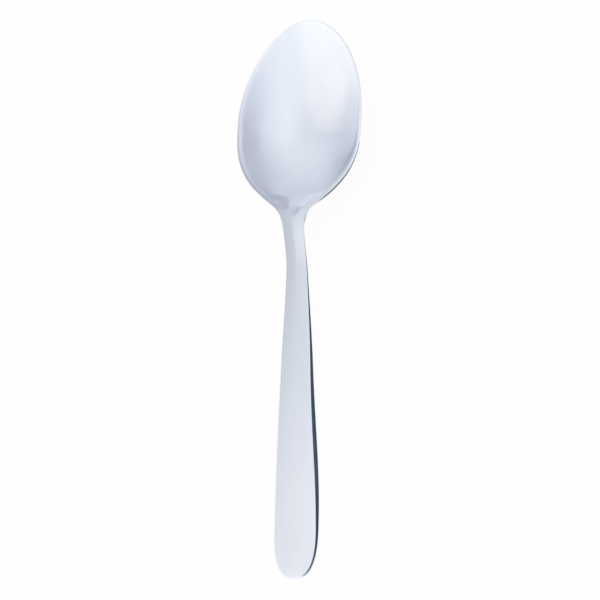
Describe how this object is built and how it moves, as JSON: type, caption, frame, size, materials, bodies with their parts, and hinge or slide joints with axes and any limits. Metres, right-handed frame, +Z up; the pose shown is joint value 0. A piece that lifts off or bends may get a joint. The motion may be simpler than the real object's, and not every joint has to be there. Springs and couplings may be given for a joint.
{
  "type": "dessert spoon",
  "caption": "One-piece polished steel dessert spoon with an egg-shaped shallow bowl, a slim neck and a bevelled handle that widens to a rounded end.",
  "frame": {"origin": "centre of the spoon's footprint, on the surface it lies on", "axes": "+Y along the spoon from the handle's end to the tip of the bowl, +X across it, +Z up with the hollow side up"},
  "size_m": [0.0414, 0.18, 0.0139],
  "materials": {
    "polished_steel": "polished stainless steel with a faint satin grain"
  },
  "bodies": {
    "root": {"spoon": "polished_steel"}
  },
  "joints": []
}
